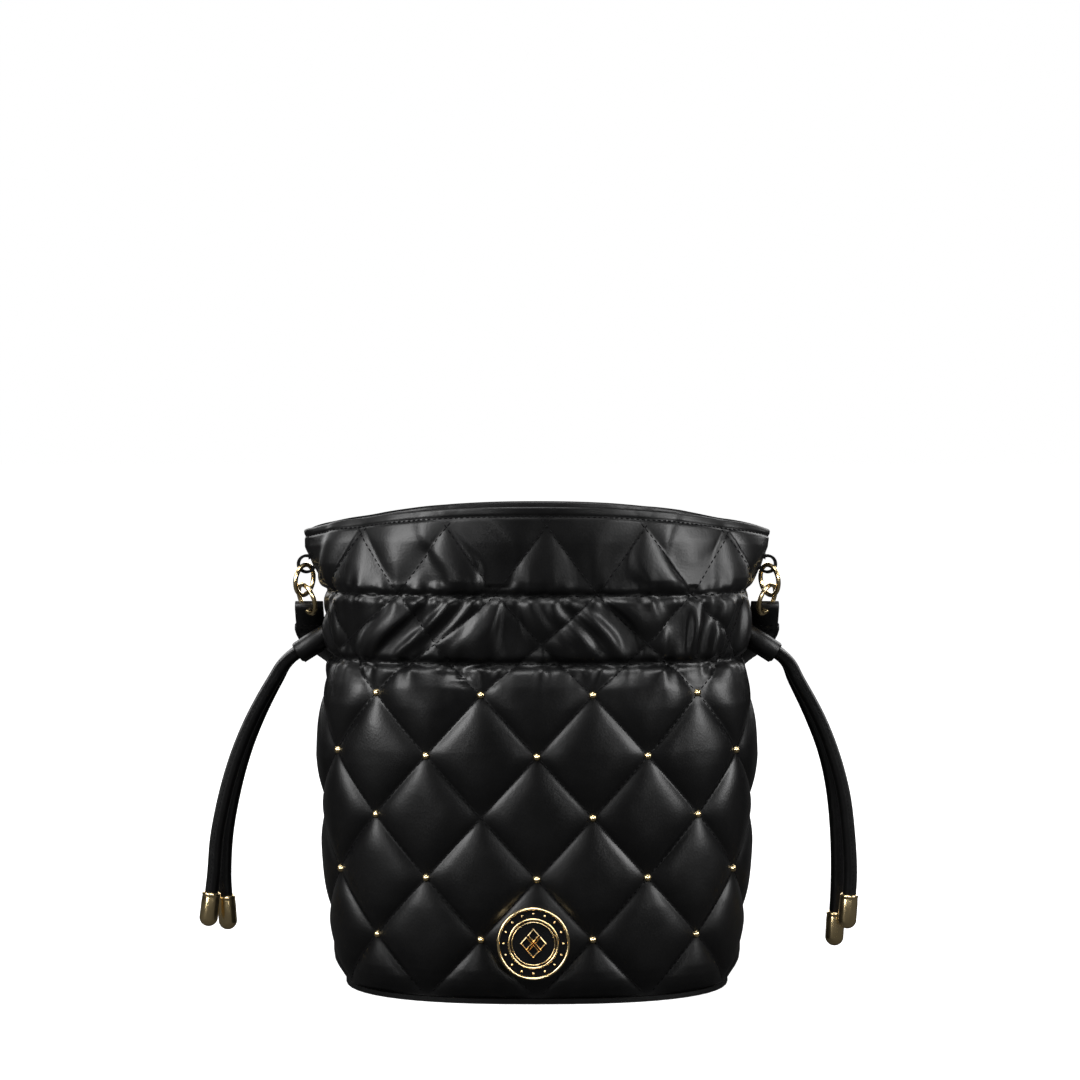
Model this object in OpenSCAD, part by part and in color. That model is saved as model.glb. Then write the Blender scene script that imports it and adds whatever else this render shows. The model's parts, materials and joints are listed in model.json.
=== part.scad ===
// Quilted drawstring bucket bag. Millimetres, +Z up, +X to the bag's right as it faces the viewer,
// front towards -Y. The origin is the centre of the flat base, on the surface it stands on.

/* [Body] */
// Half width of the base where the walls start
base_half_w = 82.5; // [78:0.5:86]
// Half width of the body at its widest
belly_half_w = 92.5; // [90:0.5:96]
// Half width at the lower gathering seam
gather_half_w = 88; // [86:0.5:89]
// Half width of the open mouth at its corners
mouth_half_w = 101; // [99:0.5:104]
// Half depth of the body at its widest
belly_half_d = 60; // [58:0.5:62]
// Half depth at the drawstring casing
casing_half_d = 56; // [55:0.5:57]
// Height of the mouth at the middle of the front
mouth_h = 203.8; // [202:0.2:206]
// How much lower the mouth's corners are than its middle
mouth_drop = 11; // [8:0.5:13]

/* [Layers] */
// Thickness of the outer leather
skin_t = 1.2; // [1:0.1:1.2]
// Thickness of the quilting wadding
wadding_t = 3; // [2:0.5:3.2]
// Thickness of the lining cloth
lining_t = 0.8; // [0.6:0.1:1]
// Thickness of the stiff board in the base
board_t = 2; // [1.5:0.5:2.5]

/* [Casing and drawstring] */
// Height of the lower gathering seam
gather_low_z = 140; // [138:0.5:141]
// Height of the upper gathering seam
gather_high_z = 168; // [167:0.5:170]
// Diameter of the rolled leather cord
cord_d = 6; // [5.6:0.1:6.2]
// Length of a leather keeper around the two cords
keeper_l = 15.5; // [14:0.5:16]
// Length of a metal cord end
tip_l = 15; // [14:0.5:16]
// Diameter of a metal cord end
tip_d = 8; // [7.8:0.1:8.4]

/* [Hardware] */
// Mean radius of the rings at the side seams
ring_r = 6.6; // [6.4:0.1:7]
// Diameter of the ring wire
wire_d = 2; // [1.8:0.1:2.1]
// Diameter of a dome stud
stud_d = 3; // [2.6:0.1:3.4]
// Outer radius of the front medallion
medallion_r = 15; // [13:0.5:16]
// Width of the shoulder strap
strap_w = 14; // [13:0.5:15]
// Thickness of the shoulder strap
strap_t = 2.4; // [2:0.1:2.6]

/* [Quilting] */
// Distance along the surface from one diagonal seam crossing to the next, halved
quilt_half = 23.1; // [22:0.1:24]
// Height between rows of crossings
quilt_row = 25.2; // [24:0.1:26]
// Height of the lowest row of crossings
quilt_z0 = 1.5; // [0:0.5:3]

/* [Hidden] */

gap = 0.25;                 // clearance between neighbouring layers
arc_n = 28;                 // steps around one half of the body
ring_n = 10;                // sides of a cord
wall_z0 = 2.4;              // where the walls start, above the base seam
seam_z = 154;               // height of the hidden cord, the middle of the casing
hidden_inset = 5.4;         // from the outer surface to the hidden cord's centre
tape_inset = 13.4;          // from the outer surface to the casing tape
tape_t = 0.8;
facing_t = 1;
facing_z = 190;             // lower edge of the leather facing inside the mouth
base_t = 1.6;
pipe_r = 1.1;
cord_y = 3.1;               // half the distance between the two cords in a keeper
tab_x = 99.2;
tab_z = 179;
tab_hole_r = 2.9;
tab_leather = 1.2;
tab_w = 4;
lean = 8;                   // how far the first ring hangs out of the vertical
link_lean = 22;             // how far the second ring leans back towards the bag
ring_turn = 30;             // how far the rings are turned about the vertical
ring_overlap = 4.4;         // how far one ring's wire reaches through the other
keeper_c = [96.4, 0, 144.9];
keeper_tilt = 32.5;         // slope of the cords where they leave the casing
hank_y = 74;
hank_l = 150;
hank_h = 31;

// Half width and half depth of the body against height
widths = [[0, base_half_w - 2.5], [3, base_half_w], [10, base_half_w + 3], [28, belly_half_w - 4.5],
    [62, belly_half_w - 1.8], [98, belly_half_w], [121, belly_half_w - 1], [134, gather_half_w + 1.5],
    [gather_low_z, gather_half_w - 0.2], [154, gather_half_w + 1.1], [gather_high_z, gather_half_w + 2.5],
    [183, mouth_half_w - 4], [194, mouth_half_w - 0.8], [mouth_h, mouth_half_w]];
depths = [[0, belly_half_d - 4], [10, belly_half_d - 2], [40, belly_half_d], [104, belly_half_d],
    [130, belly_half_d - 2], [gather_low_z, casing_half_d - 0.8], [gather_high_z, casing_half_d],
    [mouth_h, belly_half_d - 2]];
// How far the lining stands in from the outer surface against height
lining_insets = [[0, 5], [128, 5], [138, 14.6], [170, 14.6], [facing_z, 2.9], [mouth_h, 2.9]];

function a_at(z) = lookup(z, widths);
function b_at(z) = lookup(z, depths);
// 0 in the body, 1 at the mouth, where the outline turns from a rounded box into a pointed lens
function open_at(z) = max(0, (z - gather_high_z) / (mouth_h - gather_high_z));
function sgn(v) = v < 0 ? -1 : 1;
function mouth_z(x) = mouth_h - mouth_drop * pow(min(1, abs(x) / mouth_half_w), 2.5);
// Point of the outline at height z, inset by d; phi runs from -90 to 90 and side is -1 for the front
function wall_point(phi, z, d, side) =
    let (o = open_at(z), p = 2.5 - 0.5 * o, e = 0.4 + 0.5 * o, s = sin(phi),
         x = (a_at(z) - d) * sgn(s) * pow(abs(s), 2 / p),
         y = side * (b_at(z) - d) * pow(max(0, cos(phi)), 2 * e),
         h = z <= gather_high_z ? z
             : gather_high_z + (mouth_z(x) - gather_high_z) * o)
    [x, y, h];
function phi_at(i) = -90 + 180 * i / arc_n;

// Angle of the point at distance s along the front of the outline at height z, from its middle
function arc_table(z, n = 60, i = 0, sum = 0, out = [[0, 0]]) =
    i == n ? out
    : let (step = 90 / n, a = wall_point(i * step, z, 0, -1), b = wall_point((i + 1) * step, z, 0, -1),
           t = sum + norm(b - a))
      arc_table(z, n, i + 1, t, concat(out, [[t, (i + 1) * step]]));
function arc_phi(s, z) = sgn(s) * lookup(abs(s), arc_table(z));

wall_heights = [wall_z0, 8, 18, 34, 56, 80, 104, 121, 131, gather_low_z, 146, 154, 162, gather_high_z,
    174, 182, 190, 197, mouth_h];

// Closed solid between the outer and inner surfaces of one half of the body, over a list of heights
module half_shell(heights, side, inset, t) {
    n = arc_n + 1;
    rows = len(heights);
    pts = [for (z = heights) each concat(
        [for (i = [0:arc_n]) wall_point(phi_at(i), z, inset(z), side)],
        [for (i = [0:arc_n]) wall_point(phi_at(i), z, inset(z) + t, side)])];
    function id(r, layer, i) = r * 2 * n + layer * n + i;
    function quad(a, b, c, d) = side < 0 ? [[a, b, c], [a, c, d]] : [[a, c, b], [a, d, c]];
    faces = [
        for (r = [0:rows - 2], i = [0:arc_n - 1]) each concat(
            quad(id(r, 0, i), id(r + 1, 0, i), id(r + 1, 0, i + 1), id(r, 0, i + 1)),
            quad(id(r, 1, i), id(r, 1, i + 1), id(r + 1, 1, i + 1), id(r + 1, 1, i))),
        for (r = [0:rows - 2]) each concat(
            quad(id(r, 0, 0), id(r, 1, 0), id(r + 1, 1, 0), id(r + 1, 0, 0)),
            quad(id(r, 0, arc_n), id(r + 1, 0, arc_n), id(r + 1, 1, arc_n), id(r, 1, arc_n))),
        for (i = [0:arc_n - 1]) each concat(
            quad(id(0, 0, i), id(0, 0, i + 1), id(0, 1, i + 1), id(0, 1, i)),
            quad(id(rows - 1, 0, i), id(rows - 1, 1, i), id(rows - 1, 1, i + 1),
                 id(rows - 1, 0, i + 1)))];
    polyhedron(pts, faces, convexity = 8);
}

function heights_between(lo, hi) = concat([lo], [for (z = wall_heights) if (z > lo + 1 && z < hi - 1) z], [hi]);

// Outline of the body at height z, grown by d
module outline(z, d = 0) {
    polygon([for (side = [-1, 1], i = [0:arc_n - 1])
        let (q = wall_point(side < 0 ? phi_at(i) : -phi_at(i), z, -d, side)) [q[0], q[1]]]);
}

// Slot in the side seams where the two cords come out of the casing
module cord_slots() {
    for (s = [-1, 1])
        translate([s * 88, 0, 149.2]) cube([12, 16.6, 13], center = true);
}

module skin(side) {
    difference() {
        half_shell(wall_heights, side, function (z) 0, skin_t);
        cord_slots();
    }
}
module front_panel() { color("#161617") skin(-1); }
module back_panel() { color("#161617") skin(1); }

module wadding(side) {
    half_shell(heights_between(5, gather_low_z - 8), side, function (z) skin_t + gap, wadding_t);
}
module wadding_front() { color("white") wadding(-1); }
module wadding_back() { color("white") wadding(1); }

module lining(side) {
    half_shell([5.2, 30, 70, 104, 128, 138, 142, 148, seam_z, 160, 166, 172, 181, facing_z, 197, mouth_h - 1.2], side,
        function (z) lookup(z, lining_insets), lining_t);
}
module lining_front() { color("#2b2a2c") lining(-1); }
module lining_back() { color("#2b2a2c") lining(1); }

module lining_bottom() {
    color("#2b2a2c") translate([0, 0, 4.3]) linear_extrude(lining_t) outline(3, -5);
}
module base_panel() { color("#161617") linear_extrude(base_t) outline(0, -0.2); }
module base_board() {
    color("tan") translate([0, 0, base_t + gap]) linear_extrude(board_t) outline(3, -2.6);
}
module base_piping() {
    color("#101011") translate([0, 0, 0.2]) linear_extrude(2 * pipe_r - 0.2) difference() {
        outline(0, 2 * pipe_r);
        outline(0, 0);
    }
}

module facing(side) {
    half_shell(heights_between(facing_z, mouth_h - 0.4), side, function (z) skin_t + gap, facing_t);
}
module rim_facing_front() { color("#1b1b1c") facing(-1); }
module rim_facing_back() { color("#1b1b1c") facing(1); }

module tape(side) {
    half_shell([gather_low_z + 2, 148, seam_z, 160, gather_high_z - 2], side, function (z) tape_inset, tape_t);
}
module casing_tape_front() { color("#2b2a2c") tape(-1); }
module casing_tape_back() { color("#2b2a2c") tape(1); }

// Round tube swept along a list of points, its sections square to the way it runs
module cord_along(route, r, sides = ring_n) {
    n = len(route);
    function ahead(i) = let (v = route[min(n - 1, i + 1)] - route[max(0, i - 1)]) v / norm(v);
    function across(t) = let (c = cross(t, abs(t[1]) > 0.9 ? [0, 0, 1] : [0, 1, 0])) c / norm(c);
    pts = [for (i = [0:n - 1]) let (t = ahead(i), u = across(t), v = cross(t, u))
        for (k = [0:sides - 1]) route[i] + r * (cos(360 * k / sides) * u + sin(360 * k / sides) * v)];
    polyhedron(pts, concat(
        [[for (k = [0:sides - 1]) k]],
        [for (i = [0:n - 2], k = [0:sides - 1]) let (a = i * sides + k, b = i * sides + (k + 1) % sides)
            each [[a, a + sides, b], [b, a + sides, b + sides]]],
        [[for (k = [sides - 1:-1:0]) (n - 1) * sides + k]]), convexity = 6);
}

// The part of a drawstring inside the casing, from one side slot to the other
module hidden_cord(side) {
    steps = 15;
    mid = [for (i = [0:steps]) wall_point(-68 + 136 * i / steps, seam_z, hidden_inset, side)];
    cord_along(concat([[-79, side * cord_y, 155.6]], mid, [[79, side * cord_y, 155.6]]), cord_d / 2);
}
module drawstring_front() { color("#161617") hidden_cord(-1); }
module drawstring_back() { color("#161617") hidden_cord(1); }

// Free tails of the two drawstrings, from inside the side slots to the cord ends
tail_left_front_route = [[-82.6, -3.1, 153.8], [-89.6, -3.1, 149.4], [-106.2, -3.1, 138.7],
    [-113.6, -3.4, 128.6], [-122.4, -4, 112.8], [-129, -4.6, 97], [-134, -5, 80], [-137.6, -5, 62],
    [-139, -5, 46], [-140.6, -5, 33]];
tail_left_back_route = [[-82.6, 3.1, 153.8], [-89.6, 3.1, 149.4], [-106.2, 3.1, 138.7],
    [-112.8, 3.2, 128.4], [-120.6, 3.4, 112.6], [-126.6, 3.6, 97], [-131.2, 4, 80], [-134.4, 4, 62],
    [-135.4, 4, 44], [-134.6, 4, 30]];
tail_right_front_route = [[82.6, -3.1, 153.8], [89.6, -3.1, 149.4], [106.2, -3.1, 138.7],
    [112.6, -3.4, 128.6], [121.2, -4, 112.8], [127.4, -4.6, 97], [131.8, -5, 80], [134, -5, 62],
    [134.8, -5, 46], [134, -5, 32]];
tail_right_back_route = [[82.6, 3.1, 153.8], [89.6, 3.1, 149.4], [106.2, 3.1, 138.7],
    [111.4, 3.2, 128.4], [118.8, 3.4, 112.6], [124.6, 3.6, 97], [128.2, 4, 80], [130, 4, 60],
    [130.2, 4, 40], [129.4, 4, 23]];

module tail(route) { color("#161617") cord_along(route, cord_d / 2); }
module tail_left_front() { tail(tail_left_front_route); }
module tail_left_back() { tail(tail_left_back_route); }
module tail_right_front() { tail(tail_right_front_route); }
module tail_right_back() { tail(tail_right_back_route); }

// Metal cord end: a blind socket over the end of a cord, with a round nose
module tip(route) {
    n = len(route);
    run = route[n - 1] - route[n - 2];
    down = run / norm(run);
    r = tip_d / 2;
    socket = 5;
    turn = acos(down[2]);
    axis = cross([0, 0, 1], down);
    color("gold") translate(route[n - 1] - down * socket) rotate(turn, axis) difference() {
        union() {
            cylinder(r = r, h = tip_l - r, $fn = 48);
            translate([0, 0, tip_l - r]) sphere(r = r, $fn = 48);
        }
        translate([0, 0, -1]) cylinder(r = cord_d / 2 + 0.1, h = socket + 1.1, $fn = 48);
    }
}
module tip_left_front() { tip(tail_left_front_route); }
module tip_left_back() { tip(tail_left_back_route); }
module tip_right_front() { tip(tail_right_front_route); }
module tip_right_back() { tip(tail_right_back_route); }

// Oval bar along Z, made of two round bars and the block between them
module oval_bar(r, half_y, l) {
    for (s = [-1, 1]) translate([0, s * half_y, 0]) cylinder(r = r, h = l, center = true, $fn = 48);
    cube([2 * r, 2 * half_y, l], center = true);
}
module keeper(side) {
    wall = 1.4;
    hole_r = cord_d / 2 + 0.25;
    color("#1b1b1c") translate([side * keeper_c[0], 0, keeper_c[2]])
        rotate([0, side * (90 + keeper_tilt), 0]) difference() {
            oval_bar(hole_r + wall, cord_y, keeper_l);
            oval_bar(hole_r, cord_y, keeper_l + 2);
        }
}
module keeper_left() { keeper(-1); }
module keeper_right() { keeper(1); }

// Leather loop sewn to the side seam, which holds the first ring
module tab(side) {
    color("#1b1b1c") translate([side * tab_x, 0, tab_z]) rotate([90, 0, 0]) difference() {
        cylinder(r = tab_hole_r + tab_leather, h = tab_w, center = true, $fn = 48);
        cylinder(r = tab_hole_r, h = tab_w + 1, center = true, $fn = 48);
    }
}
module tab_left() { tab(-1); }
module tab_right() { tab(1); }

// A wire ring whose top is at p, leaning by tilt and turned by turn about the vertical
module wire_ring(p, tilt, turn) {
    color("gold") translate(p) rotate([0, -tilt, 0]) rotate([0, 0, turn]) translate([0, 0, -ring_r])
        rotate([0, 90, 0]) rotate_extrude($fn = 64) translate([ring_r, 0]) circle(d = wire_d, $fn = 24);
}
ring_top = [tab_x, 0, tab_z - 0.4];
ring_bottom = ring_top + 2 * ring_r * [sin(lean), 0, -cos(lean)];
link_top = ring_bottom + [0.5, 0, ring_overlap];
module mirror_side(side) { mirror([side < 0 ? 1 : 0, 0, 0]) children(); }
module d_ring_left() { mirror_side(-1) wire_ring(ring_top, lean, ring_turn); }
module d_ring_right() { mirror_side(1) wire_ring(ring_top, lean, ring_turn); }
module link_ring_left() { mirror_side(-1) wire_ring(link_top, -link_lean, -ring_turn); }
module link_ring_right() { mirror_side(1) wire_ring(link_top, -link_lean, -ring_turn); }

// Folded end of the strap, a flat loop through the second ring
strap_end_c = [98.6, 8.4, 155.9];
module strap_end(side) {
    loop_l = 15;
    loop_t = 5.6;
    leather = 1.3;
    mirror_side(side) color("#1b1b1c") translate(strap_end_c) rotate([-52, 0, 0]) rotate([0, 90, 0])
        difference() {
            union() {
                for (s = [-1, 1]) translate([0, s * (loop_l - loop_t) / 2, 0])
                    cylinder(d = loop_t, h = 12, center = true, $fn = 32);
                cube([loop_t, loop_l - loop_t, 12], center = true);
            }
            for (s = [-1, 1]) translate([0, s * (loop_l - loop_t) / 2, 0])
                cylinder(d = loop_t - 2 * leather, h = 13, center = true, $fn = 32);
            cube([loop_t - 2 * leather, loop_l - loop_t, 13], center = true);
        }
}
module strap_end_left() { strap_end(-1); }
module strap_end_right() { strap_end(1); }

// Flat strap swept along a route; each entry is a point and the direction of the strap's width there
module ribbon(route) {
    n = len(route);
    function ahead(i) = let (v = route[min(n - 1, i + 1)][0] - route[max(0, i - 1)][0]) v / norm(v);
    pts = [for (i = [0:n - 1]) let (t = ahead(i), raw = route[i][1], w0 = raw - (raw * t) * t,
        w = w0 / norm(w0), v = cross(t, w))
        for (c = [[-1, -1], [1, -1], [1, 1], [-1, 1]])
            route[i][0] + c[0] * strap_w / 2 * w + c[1] * strap_t / 2 * v];
    polyhedron(pts, concat([[0, 1, 2], [0, 2, 3]],
        [for (i = [0:n - 2], k = [0:3]) let (a = i * 4 + k, b = i * 4 + (k + 1) % 4)
            each [[a, a + 4, b], [b, a + 4, b + 4]]],
        [[(n - 1) * 4 + 3, (n - 1) * 4 + 2, (n - 1) * 4 + 1], [(n - 1) * 4 + 3, (n - 1) * 4 + 1, (n - 1) * 4]]),
        convexity = 4);
}
strap_leg_route = [[[98.4, 17, 148], [1, -0.3, 0.3]], [[95, 30, 139], [0.7, -0.5, 0.6]],
    [[86, 44, 129], [0.7, -0.5, 0.6]], [[74, 58, 117], [0.9, -0.4, 0.3]], [[62, 67, 100], [1, -0.1, 0]],
    [[55, 70, 80], [1, 0.2, 0]], [[52, 72, 60], [0.7, 0.7, 0]], [[52, 74, 44], [0.1, 1, 0]],
    [[50, 74, 34], [0, 1, 0]]];
module strap_leg(side) { color("#1b1b1c") mirror_side(side) ribbon(strap_leg_route); }
module strap_leg_left() { strap_leg(-1); }
module strap_leg_right() { strap_leg(1); }

// The rest of the strap, folded flat on itself behind the bag
module stadium(l, h) {
    for (s = [-1, 1]) translate([s * (l - h) / 2, 0]) circle(d = h, $fn = 48);
    square([l - h, h], center = true);
}
module strap_hank() {
    color("#1b1b1c") translate([0, hank_y, hank_h / 2]) rotate([90, 0, 0])
        linear_extrude(strap_w, center = true) stadium(hank_l, hank_h);
}
module hank_tie() {
    tie_t = 1.2;
    color("#1b1b1c") translate([0, hank_y, hank_h / 2 + 0.6]) difference() {
        cube([10, strap_w + 2 * tie_t + 0.6, hank_h + 1.2 + 2 * tie_t - 2.4], center = true);
        cube([11, strap_w + 0.4, hank_h + 0.2], center = true);
    }
}

// Round medallion, held by two posts bent over behind the leather
medallion_c = [-1.4, -60.4, 26];
medallion_t = 2.4;
module on_front() { translate(medallion_c) rotate([90, 0, 0]) children(); }
module medallion_rim() {
    color("gold") on_front() {
        difference() {
            cylinder(r = medallion_r, h = medallion_t, $fn = 96);
            translate([0, 0, 0.8]) cylinder(r = medallion_r - 1, h = medallion_t, $fn = 96);
        }
        translate([0, 0, 0.7]) difference() {
            cylinder(r = medallion_r - 4.4, h = medallion_t - 0.9, $fn = 96);
            translate([0, 0, -0.5]) cylinder(r = medallion_r - 5, h = medallion_t, $fn = 96);
        }
    }
}
module medallion_enamel() {
    color("black") on_front() translate([0, 0, 0.8]) difference() {
        cylinder(r = medallion_r - 1, h = 0.8, $fn = 96);
        difference() {
            translate([0, 0, -1]) cylinder(r = medallion_r - 4.35, h = 3, $fn = 96);
            translate([0, 0, -2]) cylinder(r = medallion_r - 5.05, h = 5, $fn = 96);
        }
    }
}
module medallion_posts() {
    color("gold") on_front() for (s = [-1, 1]) translate([s * 7, 0, -3]) {
        cylinder(r = 1, h = 3, $fn = 24);
        cylinder(r = 2.4, h = 0.6, $fn = 24);
    }
}

// Dome studs on the crossings of the quilting seams, up to the lower gathering seam. One is left off
// the front, and none sits under the medallion.
module studs(side) {
    color("gold") for (row = [1:5], step = [-4:4]) {
        z = quilt_z0 + quilt_row * row;
        crossing = (row + step) % 2 == 0;
        under_medallion = row == 1 && step == 0;
        left_off = side < 0 && row == 3 && step == -1;
        if (crossing && !under_medallion && !left_off) {
            p = wall_point(arc_phi(step * quilt_half, z), z, -0.2, side);
            translate(p) sphere(d = stud_d, $fn = 20);
        }
    }
}
module studs_front() { studs(-1); }
module studs_back() { studs(1); }

front_panel();
back_panel();
wadding_front();
wadding_back();
lining_front();
lining_back();
lining_bottom();
base_panel();
base_board();
base_piping();
rim_facing_front();
rim_facing_back();
casing_tape_front();
casing_tape_back();
drawstring_front();
drawstring_back();
tail_left_front();
tail_left_back();
tail_right_front();
tail_right_back();
tip_left_front();
tip_left_back();
tip_right_front();
tip_right_back();
keeper_left();
keeper_right();
tab_left();
tab_right();
d_ring_left();
d_ring_right();
link_ring_left();
link_ring_right();
strap_end_left();
strap_end_right();
strap_leg_left();
strap_leg_right();
strap_hank();
hank_tie();
medallion_rim();
medallion_enamel();
medallion_posts();
studs_front();
studs_back();
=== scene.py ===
"""Quilted drawstring bucket bag: the looks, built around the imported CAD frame.

Lengths in this file are in millimetres, in the CAD's frame, until a mesh is made in metres."""
import json
import math

import bpy
import numpy as np
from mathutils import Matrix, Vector

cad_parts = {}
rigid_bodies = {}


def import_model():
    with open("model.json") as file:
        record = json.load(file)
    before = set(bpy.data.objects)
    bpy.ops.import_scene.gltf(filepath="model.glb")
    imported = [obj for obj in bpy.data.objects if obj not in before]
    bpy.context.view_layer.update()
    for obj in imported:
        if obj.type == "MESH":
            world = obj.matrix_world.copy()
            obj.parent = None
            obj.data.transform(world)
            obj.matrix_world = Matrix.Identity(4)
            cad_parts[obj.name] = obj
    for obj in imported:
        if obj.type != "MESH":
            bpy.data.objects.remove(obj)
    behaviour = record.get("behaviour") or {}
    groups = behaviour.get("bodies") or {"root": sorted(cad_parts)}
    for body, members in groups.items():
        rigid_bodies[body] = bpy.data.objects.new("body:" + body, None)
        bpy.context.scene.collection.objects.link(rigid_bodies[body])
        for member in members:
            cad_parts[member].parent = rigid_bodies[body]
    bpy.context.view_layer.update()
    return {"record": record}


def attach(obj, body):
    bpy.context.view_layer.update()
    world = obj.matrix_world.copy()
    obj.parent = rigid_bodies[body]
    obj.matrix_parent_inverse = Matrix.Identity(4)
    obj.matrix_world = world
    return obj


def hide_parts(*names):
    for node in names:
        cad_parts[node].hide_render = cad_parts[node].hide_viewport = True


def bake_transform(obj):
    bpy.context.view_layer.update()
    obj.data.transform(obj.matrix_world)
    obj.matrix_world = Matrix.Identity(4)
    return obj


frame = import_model()
MM = 0.001

# ---------------------------------------------------------------- camera, floor and light

CAMERA_PLACE = (0.0013, -1.15, 0.228)
CAMERA_TILT = 1.93          # degrees below the horizontal
CAMERA_LENS = 89.1


def make_camera():
    data = bpy.data.cameras.new("camera")
    data.lens = CAMERA_LENS
    data.sensor_width = 36
    camera = bpy.data.objects.new("camera", data)
    camera.location = CAMERA_PLACE
    camera.rotation_euler = (math.radians(90 - CAMERA_TILT), 0, 0)
    bpy.context.collection.objects.link(camera)
    bpy.context.scene.camera = camera


def make_world():
    """White for the camera, and dim for everything that reflects it, as in a studio with dark flags."""
    world = bpy.data.worlds.new("studio")
    world.use_nodes = True
    nodes, links = world.node_tree.nodes, world.node_tree.links
    nodes.clear()
    seen = nodes.new("ShaderNodeBackground")
    seen.inputs["Color"].default_value = (1, 1, 1, 1)
    lit = nodes.new("ShaderNodeBackground")
    lit.inputs["Color"].default_value = (1, 1, 1, 1)
    lit.inputs["Strength"].default_value = 0.012
    path = nodes.new("ShaderNodeLightPath")
    mix = nodes.new("ShaderNodeMixShader")
    out = nodes.new("ShaderNodeOutputWorld")
    links.new(path.outputs["Is Camera Ray"], mix.inputs[0])
    links.new(lit.outputs[0], mix.inputs[1])
    links.new(seen.outputs[0], mix.inputs[2])
    links.new(mix.outputs[0], out.inputs[0])
    bpy.context.scene.world = world


def area_light(name, place, target, size, watts):
    data = bpy.data.lights.new(name, "AREA")
    data.shape = "RECTANGLE"
    data.size, data.size_y = size
    data.energy = watts
    light = bpy.data.objects.new(name, data)
    light.location = place
    light.rotation_euler = (Vector(target) - Vector(place)).to_track_quat("-Z", "Y").to_euler()
    bpy.context.collection.objects.link(light)
    return light


def make_floor():
    """White paper: bright where the camera sees it, with painted light that rises with distance from the bag,
    and dark to what reflects it.
    """
    data = bpy.data.meshes.new("floor")
    half = 40.0
    corners = [(-half, -half, 0), (half, -half, 0), (half, half, 0), (-half, half, 0)]
    data.from_pydata(corners, [], [(0, 1, 2, 3)])
    floor = bpy.data.objects.new("floor", data)
    bpy.context.collection.objects.link(floor)
    mat = bpy.data.materials.new("floor_paper")
    mat.use_nodes = True
    nodes, links = mat.node_tree.nodes, mat.node_tree.links
    paper = nodes["Principled BSDF"]
    paper.inputs["Base Color"].default_value = (0.8, 0.8, 0.8, 1)
    paper.inputs["Roughness"].default_value = 0.9
    paper.inputs["Emission Color"].default_value = (1, 1, 1, 1)
    place = nodes.new("ShaderNodeTexCoord")
    away = nodes.new("ShaderNodeVectorMath")
    away.operation = "LENGTH"
    # Painted light: the floor's glow rises from 0.84 near the bag to full beyond 0.4 m, brightening the far
    # floor where less light falls; near the bag it stays lower so the cast shadow shows.
    painted_falloff_light = nodes.new("ShaderNodeMapRange")
    for socket, value in (("From Min", 0.1), ("From Max", 0.4), ("To Min", 0.84), ("To Max", 1.0)):
        painted_falloff_light.inputs[socket].default_value = value
    links.new(place.outputs["Object"], away.inputs[0])
    links.new(away.outputs["Value"], painted_falloff_light.inputs["Value"])
    links.new(painted_falloff_light.outputs["Result"], paper.inputs["Emission Strength"])
    dark = nodes.new("ShaderNodeBsdfDiffuse")
    dark.inputs["Color"].default_value = (0.06, 0.06, 0.06, 1)
    path = nodes.new("ShaderNodeLightPath")
    mix = nodes.new("ShaderNodeMixShader")
    links.new(path.outputs["Is Camera Ray"], mix.inputs[0])
    links.new(dark.outputs[0], mix.inputs[1])
    links.new(paper.outputs[0], mix.inputs[2])
    links.new(mix.outputs[0], nodes["Material Output"].inputs["Surface"])
    data.materials.append(mat)


make_camera()
make_world()
make_floor()
bpy.context.scene.view_settings.view_transform = "Standard"
MIDDLE = (0, 0, 0.1)
area_light("key_left", (-1.0, -0.6, 0.7), MIDDLE, (0.4, 0.7), 9)
area_light("key_right", (1.05, -0.45, 0.6), MIDDLE, (0.35, 0.7), 7.5)
area_light("top", (-0.1, -0.4, 1.2), MIDDLE, (0.7, 0.4), 6)
area_light("back_left", (-0.8, 0.9, 0.7), MIDDLE, (0.6, 0.8), 5)
area_light("back_right", (0.8, 0.9, 0.7), MIDDLE, (0.6, 0.8), 5)
area_light("strip_left", (-0.62, -1.15, 0.3), MIDDLE, (0.05, 0.7), 0.8)
area_light("strip_right", (0.66, -1.15, 0.3), MIDDLE, (0.05, 0.7), 0.7)
METAL_LIGHTS = [area_light("metal_front", (0.1, -1.3, 0.45), MIDDLE, (0.8, 0.35), 9),
                area_light("metal_left", (-0.9, -0.9, 0.1), MIDDLE, (0.25, 0.8), 7),
                area_light("metal_back", (0.2, 1.3, 0.4), MIDDLE, (0.9, 0.5), 9)]

# ---------------------------------------------------------------- materials


def new_material(name, color, rough, metallic=0.0, specular=0.5, coat=0.0):
    mat = bpy.data.materials.new(name)
    mat.use_nodes = True
    shader = mat.node_tree.nodes["Principled BSDF"]
    shader.inputs["Base Color"].default_value = (*color, 1)
    shader.inputs["Roughness"].default_value = rough
    shader.inputs["Metallic"].default_value = metallic
    shader.inputs["Specular IOR Level"].default_value = specular
    shader.inputs["Coat Weight"].default_value = coat
    return mat, shader


def noise_node(mat, scale, detail=4.0, kind="ShaderNodeTexNoise"):
    nodes, links = mat.node_tree.nodes, mat.node_tree.links
    place = nodes.new("ShaderNodeTexCoord")
    tex = nodes.new(kind)
    tex.inputs["Scale"].default_value = scale
    if kind == "ShaderNodeTexNoise":
        tex.inputs["Detail"].default_value = detail
    links.new(place.outputs["Object"], tex.inputs["Vector"])
    return tex


def ramp_to(mat, source, target, low, high, color=False, span=(0.3, 0.7)):
    nodes, links = mat.node_tree.nodes, mat.node_tree.links
    ramp = nodes.new("ShaderNodeValToRGB")
    ramp.color_ramp.elements[0].position, ramp.color_ramp.elements[1].position = span
    ramp.color_ramp.elements[0].color = (*low, 1) if color else (low, low, low, 1)
    ramp.color_ramp.elements[1].color = (*high, 1) if color else (high, high, high, 1)
    links.new(source, ramp.inputs["Fac"])
    links.new(ramp.outputs["Color"], target)


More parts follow.
